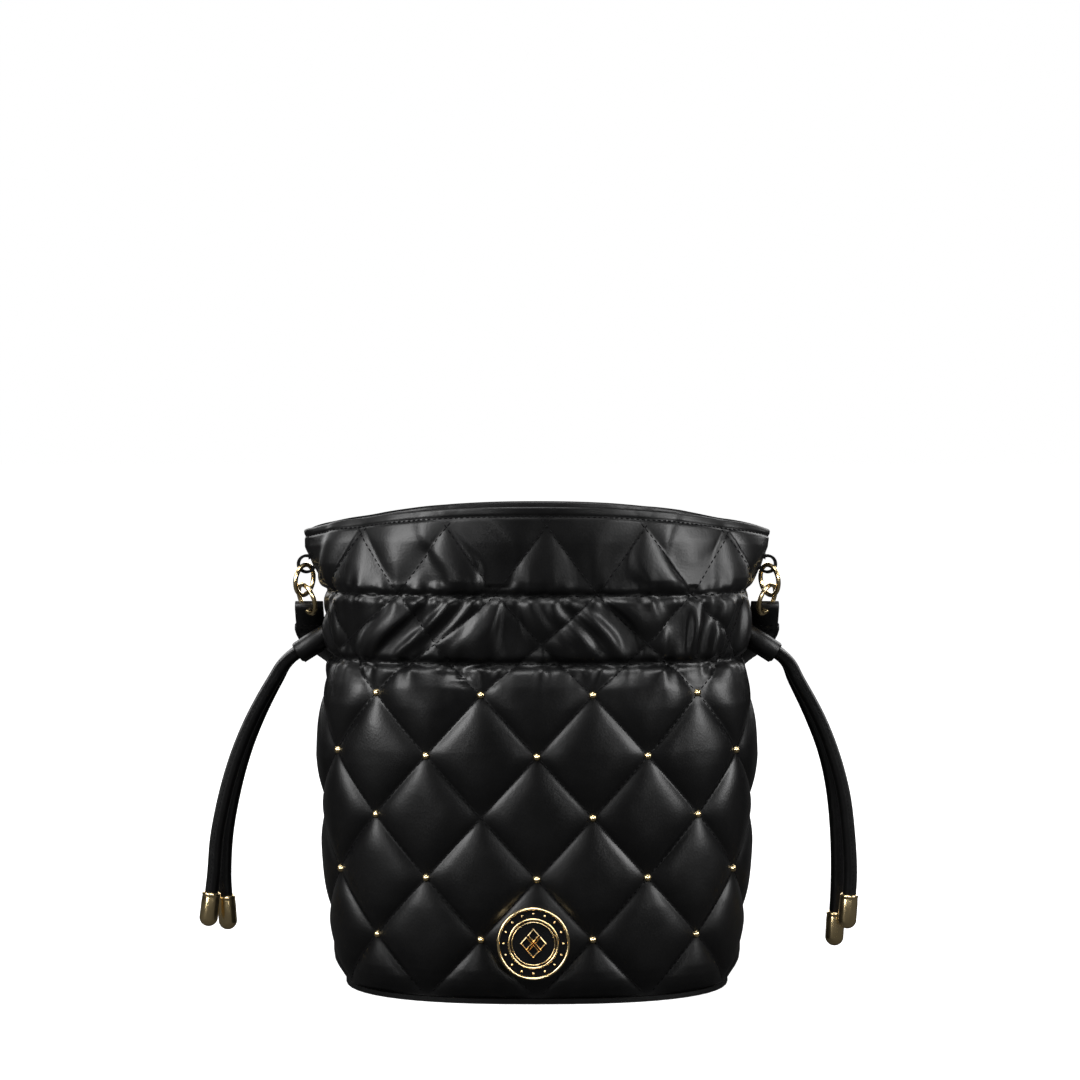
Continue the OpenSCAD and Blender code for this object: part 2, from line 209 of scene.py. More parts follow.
def add_bump(mat, shader, source, strength, distance, under=None):
    nodes, links = mat.node_tree.nodes, mat.node_tree.links
    bump = nodes.new("ShaderNodeBump")
    bump.inputs["Strength"].default_value = strength
    bump.inputs["Distance"].default_value = distance
    links.new(source, bump.inputs["Height"])
    if under:
        links.new(under.outputs["Normal"], bump.inputs["Normal"])
    links.new(bump.outputs["Normal"], shader.inputs["Normal"])
    return bump


def leather(name, color, rough, grain=900.0, depth=0.00007):
    """Smooth grained leather: pebble cells, finer creases and a soft change of gloss."""
    mat, shader = new_material(name, color, rough, specular=0.5)
    pebble = noise_node(mat, grain, kind="ShaderNodeTexVoronoi")
    crease = noise_node(mat, grain * 0.22, 6.0)
    wear = noise_node(mat, 26.0, 3.0)
    ramp_to(mat, wear.outputs["Fac"], shader.inputs["Roughness"], rough - 0.05, rough + 0.07)
    ramp_to(mat, crease.outputs["Fac"], shader.inputs["Base Color"], color,
            tuple(1.6 * c + 0.0008 for c in color), color=True)
    first = add_bump(mat, shader, pebble.outputs["Distance"], 0.35, depth)
    add_bump(mat, shader, crease.outputs["Fac"], 0.35, depth * 3, under=first)
    return mat


def metal(name, color, rough):
    mat, shader = new_material(name, color, rough, metallic=1.0)
    haze = noise_node(mat, 220.0, 4.0)
    ramp_to(mat, haze.outputs["Fac"], shader.inputs["Roughness"], rough, rough + 0.06)
    return mat


def cloth(name, color, scale):
    mat, shader = new_material(name, color, 0.85, specular=0.2)
    nodes, links = mat.node_tree.nodes, mat.node_tree.links
    place = nodes.new("ShaderNodeTexCoord")
    total = None
    for direction in ("X", "Z"):
        wave = nodes.new("ShaderNodeTexWave")
        wave.bands_direction = direction
        wave.inputs["Scale"].default_value = scale
        links.new(place.outputs["Object"], wave.inputs["Vector"])
        total = add_bump(mat, shader, wave.outputs["Fac"], 0.4, 0.00012, under=total)
    fleck = noise_node(mat, 500.0, 3.0)
    ramp_to(mat, fleck.outputs["Fac"], shader.inputs["Base Color"], color,
            tuple(1.6 * c for c in color), color=True)
    return mat


BLACK = (0.0026, 0.0026, 0.0028)
MATERIALS = {
    "leather_black": leather("leather_black", BLACK, 0.37),
    "leather_trim": leather("leather_trim", (0.003, 0.003, 0.0032), 0.40, grain=1300.0),
    "cord_leather": leather("cord_leather", (0.003, 0.003, 0.0032), 0.36, grain=1500.0),
    "wadding": cloth("wadding", (0.8, 0.8, 0.78), 300.0),
    "lining_cloth": cloth("lining_cloth", (0.02, 0.02, 0.022), 420.0),
    "board": cloth("board", (0.45, 0.36, 0.24), 150.0),
    "gold": metal("gold", (1.0, 0.78, 0.42), 0.16),
    "enamel": new_material("enamel", (0.006, 0.006, 0.007), 0.16, coat=0.6)[0],
    "thread": cloth("thread", (0.006, 0.006, 0.0065), 900.0),
}
glaze = noise_node(MATERIALS["enamel"], 60.0, 2.0)
ramp_to(MATERIALS["enamel"], glaze.outputs["Fac"],
        MATERIALS["enamel"].node_tree.nodes["Principled BSDF"].inputs["Roughness"], 0.12, 0.22)

for entry in frame["record"]["subparts"]:
    for obj in bpy.data.objects:
        if obj.name == entry["node"] and obj.type == "MESH":
            obj.data.materials.clear()
            obj.data.materials.append(MATERIALS[entry["material_slot"]])

# ---------------------------------------------------------------- meshes


def add_mesh(name, points, faces, slot, body="bag", smooth=True, also=()):
    """Make one piece from points in millimetres; it takes a slot's material and rides on a body."""
    data = bpy.data.meshes.new(name)
    data.from_pydata([tuple(float(c) * MM for c in p) for p in points], [], [tuple(f) for f in faces])
    data.validate()
    data.update()
    if smooth:
        data.shade_smooth()
    piece = bpy.data.objects.new(name, data)
    bpy.context.collection.objects.link(piece)
    data.materials.append(MATERIALS["thread" if slot == "thread" else slot])
    if body:
        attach(piece, body)
    if also:
        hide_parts(*also)
    return piece


def grid_faces(rows, cols, flip=False, start=0, closed=False):
    out = []
    for r in range(rows - 1):
        for c in range(cols if closed else cols - 1):
            a, b = start + r * cols + c, start + r * cols + (c + 1) % cols
            quad = (a, b, b + cols, a + cols)
            out.append(quad[::-1] if flip else quad)
    return out


def smooth_route(points, step):
    """A smooth curve through the points, with a point about every step millimetres."""
    pts = np.array(points, float)
    pts = np.vstack([2 * pts[0] - pts[1], pts, 2 * pts[-1] - pts[-2]])
    out = []
    for i in range(1, len(pts) - 2):
        a, b, c, d = pts[i - 1:i + 3]
        count = max(2, int(np.linalg.norm(c - b) / step))
        for k in range(count):
            t = k / count
            out.append(0.5 * (2 * b + (c - a) * t + (2 * a - 5 * b + 4 * c - d) * t * t
                              + (3 * b - a - 3 * c + d) * t ** 3))
    out.append(pts[-2])
    return np.array(out)


def frames_along(route, side):
    """Tangents, and two directions square to them; the first is as near to side as it can be."""
    tangents = np.gradient(route, axis=0)
    tangents /= np.linalg.norm(tangents, axis=1)[:, None]
    side = np.broadcast_to(np.array(side, float), route.shape)
    across = side - np.sum(side * tangents, axis=1)[:, None] * tangents
    across /= np.linalg.norm(across, axis=1)[:, None]
    return tangents, across, np.cross(tangents, across)


def sweep(route, section, side, closed_ends=True, scales=None):
    """Points and faces of a closed section carried along a route."""
    _, across, up = frames_along(route, side)
    n = len(section)
    points = []
    for i, place in enumerate(route):
        k = 1.0 if scales is None else scales[i]
        points += [place + k * (u * across[i] + v * up[i]) for u, v in section]
    faces = grid_faces(len(route), n, closed=True)
    if closed_ends:
        faces += [tuple(range(n))[::-1], tuple(range(len(points) - n, len(points)))]
    return points, faces


def joined(parts):
    points, faces = [], []
    for p, f in parts:
        faces += [tuple(i + len(points) for i in face) for face in f]
        points += list(p)
    return points, faces


def stitch(centre, along, out, length, width, height):
    """One stitch: a short rounded bar of thread lying on a surface."""
    along = np.array(along, float) / np.linalg.norm(along)
    out = np.array(out, float)
    out = out - np.dot(out, along) * along
    out /= np.linalg.norm(out)
    across = np.cross(along, out)
    points, rings = [], ((-0.5, 0.3, -0.35), (-0.32, 0.9, 0.35), (0.32, 0.9, 0.35), (0.5, 0.3, -0.35))
    for place, fat, lift in rings:
        for k in range(6):
            a = math.tau * k / 6
            points.append(centre + along * place * length + across * fat * width / 2 * math.cos(a)
                          + out * (lift * height + fat * height / 2 * math.sin(a)))
    return points, grid_faces(4, 6, closed=True) + [tuple(range(6))[::-1], tuple(range(18, 24))]


def lathe(profile, centre, axis, steps=48):
    """Points and faces of a profile of (radius, height) turned round an axis; radius 0 closes an end."""
    axis = np.array(axis, float) / np.linalg.norm(axis)
    side = np.cross(axis, (0, 0, 1) if abs(axis[2]) < 0.9 else (1, 0, 0))
    side /= np.linalg.norm(side)
    other = np.cross(axis, side)
    points = [np.array(centre) + h * axis + r * (math.cos(math.tau * k / steps) * side
                                                 + math.sin(math.tau * k / steps) * other)
              for r, h in profile for k in range(steps)]
    return points, grid_faces(len(profile), steps, flip=False, closed=True)


# ---------------------------------------------------------------- the body's surface

BELLY_W, MOUTH_W = 92.5, 101.0
MOUTH_H, MOUTH_DROP = 203.8, 11.0
GATHER_LOW, GATHER_HIGH = 140.0, 168.0
WALL_Z0 = 2.4
QUILT_HALF, QUILT_ROW, QUILT_Z0 = 23.1, 25.2, 1.5
WIDTHS = ((0, 80), (3, 82.5), (10, 85.5), (28, 88), (62, 90.7), (98, BELLY_W), (121, 91.5), (134, 89.5),
          (GATHER_LOW, 87.8), (154, 89.1), (GATHER_HIGH, 90.5), (183, 97), (194, 100.2), (MOUTH_H, MOUTH_W))
DEPTHS = ((0, 56), (10, 58), (40, 60), (104, 60), (130, 58), (GATHER_LOW, 55.2), (GATHER_HIGH, 56),
          (MOUTH_H, 58))
# Quilting rows against height: the gathers draw the upper rows together
ROWS = ((QUILT_Z0, 0), (127.5, 5), (148, 6), (168.5, 7), (197, 8), (206, 8.32))


def at(table, z):
    keys, values = zip(*table)
    return np.interp(z, keys, values)


def wall_points(phi, z, inset=0.0, side=-1):
    """Points of the outline at height z, for angles from -90 to 90 degrees: the same rule as the CAD's."""
    opened = max(0.0, (z - GATHER_HIGH) / (MOUTH_H - GATHER_HIGH))
    p, e = 2.5 - 0.5 * opened, 0.4 + 0.5 * opened
    s, c = np.sin(phi), np.maximum(0, np.cos(phi))
    x = (at(WIDTHS, z) - inset) * np.sign(s) * np.abs(s) ** (2 / p)
    y = side * (at(DEPTHS, z) - inset) * c ** (2 * e)
    mouth = MOUTH_H - MOUTH_DROP * np.minimum(1, np.abs(x) / MOUTH_W) ** 2.5
    h = np.full_like(x, z) if z <= GATHER_HIGH else GATHER_HIGH + (mouth - GATHER_HIGH) * opened
    return np.stack([x, y, h], axis=1)


FINE = np.sin(np.linspace(-math.pi / 2, math.pi / 2, 1201)) * math.pi / 2


def outline_row(fractions, z, inset=0.0, side=-1):
    """Points at even steps of distance along the outline, and that distance from the middle."""
    fine = wall_points(FINE, z, inset, side)
    run = np.concatenate([[0], np.cumsum(np.linalg.norm(np.diff(fine, axis=0), axis=1))])
    run -= run[-1] / 2
    s = np.asarray(fractions) * run[-1]
    return np.stack([np.interp(s, run, fine[:, k]) for k in range(3)], axis=1), s


def wave_sum(s, waves):
    return sum(a * np.sin(math.tau * s / length + shift) for a, length, shift in waves)


def quilt_cell(s, z):
    """How far a place is from the two nearest quilting seams, each from 0 on a seam to 1 mid-way."""
    half = np.interp(z, (135, 160), (QUILT_HALF, 21.0))
    shift = np.interp(z, (132, 168), (0, 4.0))
    u, v = (s - shift) / half, at(ROWS, z)
    p, q = (u + v) / 2, (u - v) / 2
    return 2 * np.abs(p - np.round(p)), 2 * np.abs(q - np.round(q))


CASING_WAVES = ((1.0, 37, 0.4), (1.0, 22, 2.1), (0.7, 14.5, 4.0), (0.2, 9.3, 1.0))
PUCKER_WAVES = ((0.6, 12.5, 0.3), (0.5, 8.3, 1.9), (0.22, 5.7, 3.3))
COLLAR_WAVES = ((0.9, 49, 0.8), (0.9, 33, 2.6), (0.45, 24, 5.0))


def relief(s, z, s_side, seed):
    """Height of the leather above the plain wall: quilting, gathers, puckers and soft folds."""
    far_p, far_q = quilt_cell(s, z)
    pad_p, pad_q = 1 - (1 - far_p) ** 3.2, 1 - (1 - far_q) ** 3.2
    height = np.interp(z, (0, 14, 122, GATHER_LOW, GATHER_HIGH, 176, 190, 204),
                       (1.6, 3.4, 3.6, 2.2, 1.9, 2.0, 1.8, 0.4))
    out = height * (pad_p * pad_q) ** 0.8 - 0.9
    drift = 9 * np.sin(z / 15.0 + s / 43.0 + seed) + 5 * np.sin(z / 8.5 - s / 19.0 + 2 * seed)
    # the casing between its two seams
    inside = np.clip((z - GATHER_LOW) / (GATHER_HIGH - GATHER_LOW), 0, 1)
    bulge = np.sin(math.pi * inside) ** 0.75
    lean = 0.6 * (z - 154) * np.sin(s / 23.0 + seed)
    folds = np.tanh(1.1 * wave_sum(s + lean + 0.5 * drift, CASING_WAVES))
    out = out + bulge * (0.7 + 2.0 * folds * (0.55 + 0.45 * pad_p * pad_q))
    # puckers that die away from each gathering seam
    for seam, reach in ((GATHER_LOW, 3.6), (GATHER_HIGH, 3.2)):
        away = np.abs(z - seam)
        fade = np.exp(-away / reach)
        ruffle = wave_sum(s + 0.15 * drift + seam, PUCKER_WAVES)
        out = out + 1.6 * fade * (1 - np.exp(-away / 1.5)) * ruffle
        out = out - 1.9 * np.exp(-(away / 1.9) ** 2)
    # long soft folds of the collar and the upper body, strongest where they leave the gathers
    collar = np.clip((z - GATHER_HIGH) / 6, 0, 1) * np.clip((206 - z) / 32, 0, 1)
    out = out + 1.9 * collar * np.tanh(wave_sum(s + 0.8 * drift, COLLAR_WAVES))
    below = np.clip((GATHER_LOW - z) / 4, 0, 1) * np.exp(-np.clip(GATHER_LOW - z, 0, None) / 11.0)
    out = out + 1.3 * below * wave_sum(s + 0.6 * drift + 9, COLLAR_WAVES)
    # the leather never sinks into what is behind it, except at the gathering seams over the empty casing
    floor = np.where((z > 134) & (z < 172), -3.4, -0.95)
    out = floor + np.logaddexp(0, 4 * (out - floor)) / 4
    # flat at the base, the side seams and the stitched edge of the mouth
    side_gap = s_side - np.abs(s)
    out = out * (1 - np.exp(-side_gap / 4.0)) - 0.9 * np.exp(-(side_gap / 1.5) ** 2)
    out = out * np.clip((z - WALL_Z0) / 5.0, 0, 1) ** 0.6
    return out


def wall_surface(heights, fractions, side, seed):
    """The relief surface as a grid of points, with its outward normals and distances along it."""
    rows = [outline_row(fractions, z, 0, side) for z in heights]
    flat = np.array([r[0] for r in rows])
    s = np.array([r[1] for r in rows])
    d_row = np.gradient(flat, axis=0)
    d_col = np.gradient(flat, axis=1)
    normal = np.cross(d_col, d_row)
    normal /= np.maximum(1e-9, np.linalg.norm(normal, axis=2))[:, :, None]
    normal *= np.sign(np.sum(normal * np.array([0, side, 0]), axis=2).mean())
    edge = np.abs(s[:, -1:])
    lift = relief(s, flat[:, :, 2], edge, seed)
    edge_dip = 0.5 * np.exp(-(((MOUTH_H - np.array(heights)) - 3.0) / 0.8) ** 2)
    lift = lift - edge_dip[:, None]
    return flat + normal * lift[:, :, None], normal, s


SEEDS = {-1: 0.6, 1: 2.9}
COLS = 361
HEIGHTS = np.concatenate([np.linspace(WALL_Z0, 196, 250), np.linspace(196.6, MOUTH_H, 16)])
FRACTIONS = np.linspace(-1, 1, COLS)
WALLS = {side: wall_surface(HEIGHTS, FRACTIONS, side, SEEDS[side]) for side in (-1, 1)}


def on_wall(side, s, z):
    """Place and outward direction on the relief surface, at distance s from the middle and row height z."""
    grid, normal, run = WALLS[side]
    r = min(len(HEIGHTS) - 1.001, max(0.0, float(np.interp(z, HEIGHTS, np.arange(len(HEIGHTS))))))
    i, fr = int(r), r - int(r)
    c = float(np.interp(s, run[i], np.arange(COLS)))
    j = min(COLS - 2, int(c))
    fc = c - j

    def mix(a):
        return ((1 - fr) * ((1 - fc) * a[i, j] + fc * a[i, j + 1])
                + fr * ((1 - fc) * a[i + 1, j] + fc * a[i + 1, j + 1]))
    n = mix(normal)
    return mix(grid), n / np.linalg.norm(n)


def make_panel(side, name, node):
    """One half of the outer leather, with its edge folded over the mouth and down the inside."""
    grid, normal, _ = WALLS[side]
    fold, depth = [], 12.0
    top, out = grid[-1], normal[-1] * np.array([1, 1, 0])
    out = out / np.linalg.norm(out, axis=1)[:, None]
    radius = 1.1
    for k in range(1, 7):
        a = math.pi * k / 6
        fold.append(top - radius * (1 - math.cos(a)) * out + np.array([0, 0, radius * math.sin(a)]))
    for k in range(1, 6):
        fold.append(fold[5] - np.array([0, 0, depth * k / 5]))
    points = np.concatenate([grid, np.array(fold)]).reshape(-1, 3)
    piece = add_mesh(name, points, grid_faces(len(HEIGHTS) + len(fold), COLS, flip=side > 0),
                     "leather_black", also=(node,))
    return piece


make_panel(-1, "front_quilted_leather", "front_panel")
make_panel(1, "back_quilted_leather", "back_panel")

# ---------------------------------------------------------------- stitching


def seam_line(side, family, k):
    """Places along one diagonal quilting seam: row value plus or minus step value is 2k."""
    out = []
    for z in np.arange(4.0, 201.0, 0.5):
        half = np.interp(z, (135, 160), (QUILT_HALF, 21.0))
        shift = np.interp(z, (132, 168), (0, 4.0))
        v = at(ROWS, z)
        u = 2 * k - v if family > 0 else 2 * k + v
        s = u * half + shift
        edge = WALLS[side][2][int(np.searchsorted(HEIGHTS, min(z, MOUTH_H - 0.1)))][-1]
        if abs(s) < edge - 1.5:
            out.append(on_wall(side, s, z))
        elif out:
            break
    return out


def stitches_along(line, pitch, length, width=0.55, sink=0.0):
    """Stitches at an even pitch along a line of (place, outward direction)."""
    places = np.array([p for p, _ in line])
    outs = np.array([n for _, n in line])
    run = np.concatenate([[0], np.cumsum(np.linalg.norm(np.diff(places, axis=0), axis=1))])
    parts = []
    for d in np.arange(pitch / 2, run[-1] - pitch / 2, pitch):
        ends = [np.array([np.interp(d + e, run, places[:, k]) for k in range(3)])
                for e in (-length / 2, length / 2)]
        out = np.array([np.interp(d, run, outs[:, k]) for k in range(3)])
        parts.append(stitch((ends[0] + ends[1]) / 2 - sink * out, ends[1] - ends[0], out, length, width, 0.3))
    return parts


def level_line(side, z, count=400):
    edge = WALLS[side][2][0][-1]
    return [on_wall(side, s, z) for s in np.linspace(-edge * 1.2, edge * 1.2, count)]


def make_stitching(side, name):
    quilting = []
    for k in range(-8, 13):
        for family in (-1, 1):
            line = seam_line(side, family, k)
            if len(line) > 12:
                quilting += stitches_along(line, 2.8, 1.9)
    add_mesh(name + "_quilting_thread", *joined(quilting), "thread")
    level = []
    for z, pitch in ((GATHER_LOW, 3.0), (GATHER_HIGH, 3.0), (MOUTH_H - 3.0, 2.4)):
        level += stitches_along(level_line(side, z), pitch, pitch * 0.7)
    add_mesh(name + "_seam_thread", *joined(level), "thread")


make_stitching(-1, "front")
make_stitching(1, "back")

# ---------------------------------------------------------------- studs and medallion


def stud(place, out, radius=1.5):
    profile = [(radius * 1.08, -0.5), (radius * 1.08, 0.12)]
    profile += [(radius * math.cos(a), 0.12 + radius * 0.86 * math.sin(a))
                for a in np.linspace(0.1, math.pi / 2, 7)]
    return lathe(profile, place, out, 20)


def make_studs(side, name, node):
    parts = []
    for row in range(1, 6):
        for step in range(-4, 5):
            hidden = row == 1 and step == 0
            lost = side < 0 and row == 3 and step == -1
            if (row + step) % 2 == 0 and not hidden and not lost:
                parts.append(stud(*on_wall(side, step * QUILT_HALF, QUILT_Z0 + QUILT_ROW * row)))
    add_mesh(name, *joined(parts), "gold", also=(node,))


make_studs(-1, "front_dome_studs", "studs_front")
make_studs(1, "back_dome_studs", "studs_back")

MEDAL_C, MEDAL_R, MEDAL_OUT = np.array([-1.4, -60.4, 26.0]), 15.0, (0, -1, 0)


def rounded_ring(inner, outer, low, high, steps=96):
    """A raised ring with a half-round top."""
    mid, half = (inner + outer) / 2, (outer - inner) / 2
    crown = [(mid + half * math.cos(a), high - half + half * math.sin(a)) for a in np.linspace(0, math.pi, 9)]
    return lathe([(outer, low)] + crown + [(inner, low)], MEDAL_C, MEDAL_OUT, steps)


def lozenge(x, z, w, h):
    return [(x + w, z), (x, z + h), (x - w, z), (x, z - h)]


def make_medallion():
    """A plain quilted-diamond motif inside two rings, with small studs between them."""
    plate_profile = [(0.01, 0.8), (MEDAL_R - 0.8, 0.8), (MEDAL_R - 0.8, 1.45), (0.01, 1.45)]
    plate = lathe(plate_profile, MEDAL_C, MEDAL_OUT, 96)
    add_mesh("medallion_ground", *plate, "enamel", smooth=False, also=("medallion_enamel",))
    parts = [lathe([(0.01, 0), (MEDAL_R, 0), (MEDAL_R, 0.9), (0.01, 0.9)], MEDAL_C, MEDAL_OUT, 96),
             rounded_ring(MEDAL_R - 1.2, MEDAL_R, 0, 2.4), rounded_ring(9.6, 10.5, 1.2, 2.2),
             rounded_ring(8.6, 9.0, 1.2, 1.9)]
    for k in range(16):
        a = math.tau * k / 16
        x, z = 12.3 * math.cos(a), 12.3 * math.sin(a)
        centre = MEDAL_C + np.array([x, -1.4, z])
        parts.append(lathe([(0.55 * math.cos(t), 0.6 * math.sin(t)) for t in np.linspace(0, 1.55, 5)],
                           centre, MEDAL_OUT, 12))
    add_mesh("medallion_relief", *joined(parts), "gold", also=("medallion_rim",))
    motif = []
    for dx, dz in ((0, 3.3), (0, -3.3), (2.9, 0), (-2.9, 0)):
        shapes = ((1.2, 2.6, 3.0), (1.75, 2.5, 2.9), (2.15, 2.15, 2.5), (1.75, 1.8, 2.1), (1.2, 1.7, 2.0))
        points = [MEDAL_C + np.array([x, -h, z]) for h, w, t in shapes for x, z in lozenge(dx, dz, w, t)]
        motif.append((points, grid_faces(5, 4, closed=True)))
    add_mesh("medallion_motif", *joined(motif), "gold", smooth=False, also=("medallion_rim",))


make_medallion()

# ---------------------------------------------------------------- cords, their ends and their keepers

TAILS = {
    "tail_left_front": [(-82.6, -3.1, 153.8), (-89.6, -3.1, 149.4), (-106.2, -3.1, 138.7),
                        (-113.6, -3.4, 128.6), (-122.4, -4, 112.8), (-129, -4.6, 97), (-134, -5, 80),
                        (-137.6, -5, 62), (-139, -5, 46), (-140.6, -5, 33)],
    "tail_left_back": [(-82.6, 3.1, 153.8), (-89.6, 3.1, 149.4), (-106.2, 3.1, 138.7),
                       (-112.8, 3.2, 128.4), (-120.6, 3.4, 112.6), (-126.6, 3.6, 97), (-131.2, 4, 80),
                       (-134.4, 4, 62), (-135.4, 4, 44), (-134.6, 4, 30)],
    "tail_right_front": [(82.6, -3.1, 153.8), (89.6, -3.1, 149.4), (106.2, -3.1, 138.7),
                         (112.6, -3.4, 128.6), (121.2, -4, 112.8), (127.4, -4.6, 97), (131.8, -5, 80),
                         (134, -5, 62), (134.8, -5, 46), (134, -5, 32)],
    "tail_right_back": [(82.6, 3.1, 153.8), (89.6, 3.1, 149.4), (106.2, 3.1, 138.7),
                        (111.4, 3.2, 128.4), (118.8, 3.4, 112.6), (124.6, 3.6, 97), (128.2, 4, 80),
                        (130, 4, 60), (130.2, 4, 40), (129.4, 4, 23)],
}
CORD_D, TIP_L, TIP_D = 6.0, 15.0, 8.0


def cord_section(flange=0.75, n=28):
    """A round cord whose edge-stitched seam stands out a little at one side."""
    r = CORD_D / 2 - 0.1
    out = []
    for k in range(n):
        a = math.tau * k / n
        near = max(0.0, 1 - abs((a + math.pi) % math.tau - math.pi) / 0.42)
        out.append(((r + flange * near ** 0.6) * math.cos(a), (r + 0.1 * near) * math.sin(a)))
    return out


def make_tail(name, points):
    side = -1 if points[0][0] < 0 else 1
    route = smooth_route(points, 1.6)
    body = "pull_left" if side < 0 else "pull_right"
    seam_way = np.array([0.72 * side, -0.69, 0])
    shape = sweep(route, cord_section(), seam_way)
    _, across, up = frames_along(route, seam_way)
    line = [(route[i] + across[i] * (CORD_D / 2 - 0.55) + up[i] * (1.25 if side > 0 else -1.25),
             0.8 * across[i] + (0.75 if side > 0 else -0.75) * up[i]) for i in range(6, len(route) - 3)]
    threads = stitches_along(line, 1.9, 1.25, 0.4)
    cord = add_mesh(name + "_cord", *shape, "cord_leather", body, also=(name,))
    thread = add_mesh(name + "_thread", *joined(threads), "thread", body)
    tip = make_tip(name.replace("tail", "tip"), route, body)
    return cord


def make_tip(node, route, body):
    """A metal cord end: a flared lip, a straight barrel and a round nose."""
    down = route[-1] - route[-4]
    down = down / np.linalg.norm(down)
    start = route[-1] - 5 * down
    r = TIP_D / 2
    nose = [(r * math.cos(a), TIP_L - r + r * math.sin(a)) for a in np.linspace(0.12, math.pi / 2, 10)]
    profile = [(CORD_D / 2 + 0.05, 4.0), (CORD_D / 2 + 0.1, 0.4), (r - 0.45, 0), (r - 0.1, 0.25), (r, 0.7),
               (r, 1.3), (r - 0.15, 1.6), (r - 0.1, 2.1), (r, 4)] + nose
    return add_mesh(node + "_metal", *lathe(profile, start, down, 40), "gold", body, also=(node,))


for tail_name, tail_points in TAILS.items():
    make_tail(tail_name, tail_points)

KEEPER_C, KEEPER_TILT, KEEPER_L = (96.4, 0.0, 144.9), 32.5, 15.5


def oval(r, half, n=40):
    """An oval with straight sides, as (along the slope, along Y)."""
    out = []
    for k in range(n):
        a = math.tau * k / n
        out.append((r * math.cos(a), r * math.sin(a) + (half if math.sin(a) >= 0 else -half)))
    return out


def make_keeper(name, side):
    """A leather sleeve with soft edges, and the lap where its two ends are glued and stitched."""
    t = math.radians(KEEPER_TILT)
    axis = np.array([side * math.cos(t), 0, -math.sin(t)])
    over = np.array([side * math.sin(t), 0, math.cos(t)])
    across = np.array([0, 1.0, 0])
    centre = np.array([side * KEEPER_C[0], 0, KEEPER_C[2]])
    wall, hole = 1.4, CORD_D / 2 + 0.15
    half = KEEPER_L / 2
    steps = [(hole, -half + 0.3), (hole + 0.4, -half), (hole + wall - 0.4, -half),
             (hole + wall, -half + 0.5), (hole + wall + 0.12, 0), (hole + wall, half - 0.5),
             (hole + wall - 0.4, half), (hole + 0.4, half), (hole, half - 0.3), (hole, -half + 0.3)]
    points = [centre + axis * h + over * u + across * v for r, h in steps for u, v in oval(r, 3.1)]
    sleeve = (points, grid_faces(len(steps), 40, closed=True))
    lap_route = np.array([centre + axis * h + over * (-hole - wall - 0.1) + across * -1.2
                          for h in np.linspace(-half + 0.6, half - 0.6, 12)])
    lap = sweep(lap_route, [(-2.2, -0.45), (2.2, -0.45), (2.2, 0.35), (2.0, 0.5), (-2.0, 0.5), (-2.2, 0.35)],
                across)
    add_mesh(name + "_sleeve", *joined([sleeve, lap]), "leather_trim", name, also=(name,))


make_keeper("keeper_left", -1)
make_keeper("keeper_right", 1)

# ---------------------------------------------------------------- the strap

STRAP_W, STRAP_T = 14.0, 2.4
LEG = [((98.4, 17, 148), (1, -0.3, 0.3)), ((95, 30, 139), (0.7, -0.5, 0.6)),
       ((86, 44, 129), (0.7, -0.5, 0.6)), ((74, 58, 117), (0.9, -0.4, 0.3)), ((62, 67, 100), (1, -0.1, 0)),
       ((55, 70, 80), (1, 0.2, 0)), ((52, 72, 60), (0.7, 0.7, 0)), ((52, 74, 44), (0.1, 1, 0))]
HANK_Y, HANK_HALF, LAYER = 74.0, 72.0, 6.4
HANK_LAYERS = 5
LEG_TOP = 6                 # how many points of a leg belong to its upper piece


def hank_route():
    """The folded middle of the strap: down from the right leg, back and forth, and up to the left leg."""
    low = STRAP_T / 2 + 0.4
    top = low + LAYER * (HANK_LAYERS - 1)
    turn = HANK_HALF - LAYER / 2
    places = [(LEG[-1][0][0] - 9, HANK_Y, top + 6), (LEG[-1][0][0] - 24, HANK_Y, top + 0.6)]
    for layer in range(HANK_LAYERS):
        z = top - LAYER * layer
        heading = -1 if layer % 2 == 0 else 1
        if layer:
            places.append((-heading * turn, HANK_Y, z))
        places += [(0, HANK_Y, z), (heading * turn, HANK_Y, z)]
        if layer < HANK_LAYERS - 1:
            for angle in (0.25 * math.pi, 0.5 * math.pi, 0.75 * math.pi):
                places.append((heading * (turn + LAYER / 2 * math.sin(angle)), HANK_Y,
                               z - LAYER / 2 * (1 - math.cos(angle))))
    places += [(-78, HANK_Y, 4.6), (-81, HANK_Y, 14), (-79, HANK_Y, 27), (-70, HANK_Y, 40)]
    return [(p, (0, 1, 0)) for p in places]


def ribbon_section():
    w, t, r = STRAP_W / 2, STRAP_T / 2, 0.5
    half = [(w, -t + r), (w, t - r), (w - 0.3 * r, t - 0.3 * r), (w - r, t), (w - 1.2, t),
            (w - 1.5, t - 0.18), (w - 1.8, t)]
    right = half + [(-u, v) for u, v in half[::-1]]
    return right + [(-u, -v) for u, v in half[2:]] + [(u, -v) for u, v in half[2:][::-1]]


def ribbon(places, ways, step=2.5):
    route = smooth_route(places, step)
    knots = np.array(places, float)
    counts = [max(2, int(np.linalg.norm(knots[i + 1] - knots[i]) / step)) for i in range(len(knots) - 1)]
    at_route = np.concatenate([np.linspace(i, i + 1, n, endpoint=False) for i, n in enumerate(counts)]
                              + [[len(counts)]])
    table = np.array(ways, float)
    way = np.stack([np.interp(at_route, np.arange(len(table)), table[:, k]) for k in range(3)], axis=1)
    return route, way


def make_ribbon(name, places, ways, body="bag", also=()):
    route, way = ribbon(places, ways)
    piece = add_mesh(name, *sweep(route, ribbon_section(), way), "leather_trim", body, also=also)
    return piece, route, way


def mirrored(leg):
    return [((-p[0], p[1], p[2]), (-w[0], w[1], w[2])) for p, w in leg]


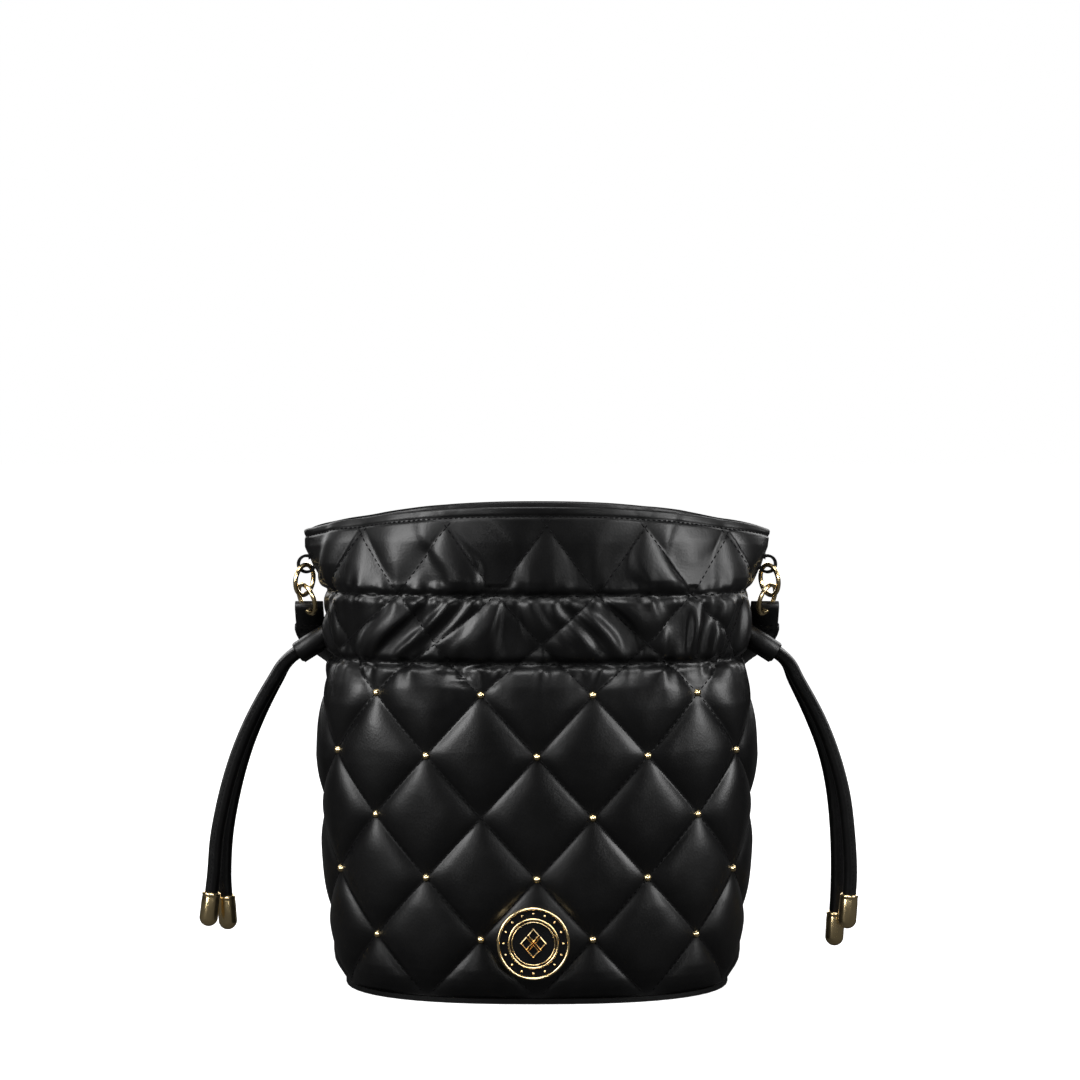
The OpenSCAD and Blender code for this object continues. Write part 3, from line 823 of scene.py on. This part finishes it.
def strap_piece(name, knots, body="bag", also=()):
    """A stretch of the strap, made as a flat cord with its stitching."""
    piece, route, way = make_ribbon(name, [k[0] for k in knots], [k[1] for k in knots], body, also)
    _, across, up = frames_along(route, way)
    threads = []
    for edge in (-1, 1):
        for face in (-1, 1):
            line = [(route[i] + edge * (STRAP_W / 2 - 1.5) * across[i] + face * (STRAP_T / 2 - 0.1) * up[i],
                     face * up[i]) for i in range(len(route))]
            threads += stitches_along(line, 3.0, 2.1, 0.5)
    thread = add_mesh(name + "_thread", *joined(threads), "thread", body)
    return piece, thread


right_leg = [((98.5, 12.4, 151.2), (1, -0.1, 0.1))] + LEG
left_leg = mirrored(right_leg)
for side_name, leg in (("right", right_leg), ("left", left_leg)):
    leg_node = f"strap_leg_{side_name}"
    top_piece = strap_piece(leg_node + "_top", leg[:LEG_TOP + 1], None, also=(leg_node,))
    for part in top_piece:
        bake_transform(part)
strap_piece("strap_folded", right_leg[LEG_TOP:] + hank_route() + [left_leg[LEG_TOP]], also=("strap_hank",))


def make_strap_end(side_name, side):
    """The folded end of the strap: one strip of leather taken through the ring and sewn to itself."""
    down, out = np.array([0, 0.616, -0.788]), np.array([0, 0.788, 0.616])
    centre = np.array([side * 98.6, 8.4, 155.9])
    half_t = 1.75
    arc = [centre - 5.6 * down + half_t * (-math.sin(a) * down + math.cos(a) * out)
           for a in np.linspace(0, math.pi, 9)]
    route = np.array([centre + d * down + half_t * out for d in (7.8, 4, 0, -3)] + arc
                     + [centre + d * down - half_t * out for d in (-3, 0, 4, 7.8)])
    section = [(-6, -0.45), (-5.8, -0.65), (5.8, -0.65), (6, -0.45), (6, 0.45), (5.8, 0.65), (-5.8, 0.65),
               (-6, 0.45)]
    strip = sweep(route, section, (1, 0, 0))
    add_mesh(f"strap_end_{side_name}_fold", *strip, "leather_trim", f"link_ring_{side_name}",
             also=(f"strap_end_{side_name}",))
    threads = []
    for face in (-1, 1):
        for d in (3.4, 6.2):
            line = [(centre + d * down + face * (half_t + 0.62) * out + np.array([x, 0, 0]), face * out)
                    for x in np.linspace(-5, 5, 12)]
            threads += stitches_along(line, 2.4, 1.7, 0.45)
    add_mesh(f"strap_end_{side_name}_thread", *joined(threads), "thread", f"link_ring_{side_name}")


make_strap_end("left", -1)
make_strap_end("right", 1)

# ---------------------------------------------------------------- lights that reach only the metal

# These lights reach only the metal
metal_pieces = bpy.data.collections.new("metal_pieces")
for obj in bpy.data.objects:
    if obj.type == "MESH" and obj.data.materials and obj.data.materials[0] == MATERIALS["gold"]:
        metal_pieces.objects.link(obj)
for light in METAL_LIGHTS:
    light.light_linking.receiver_collection = metal_pieces
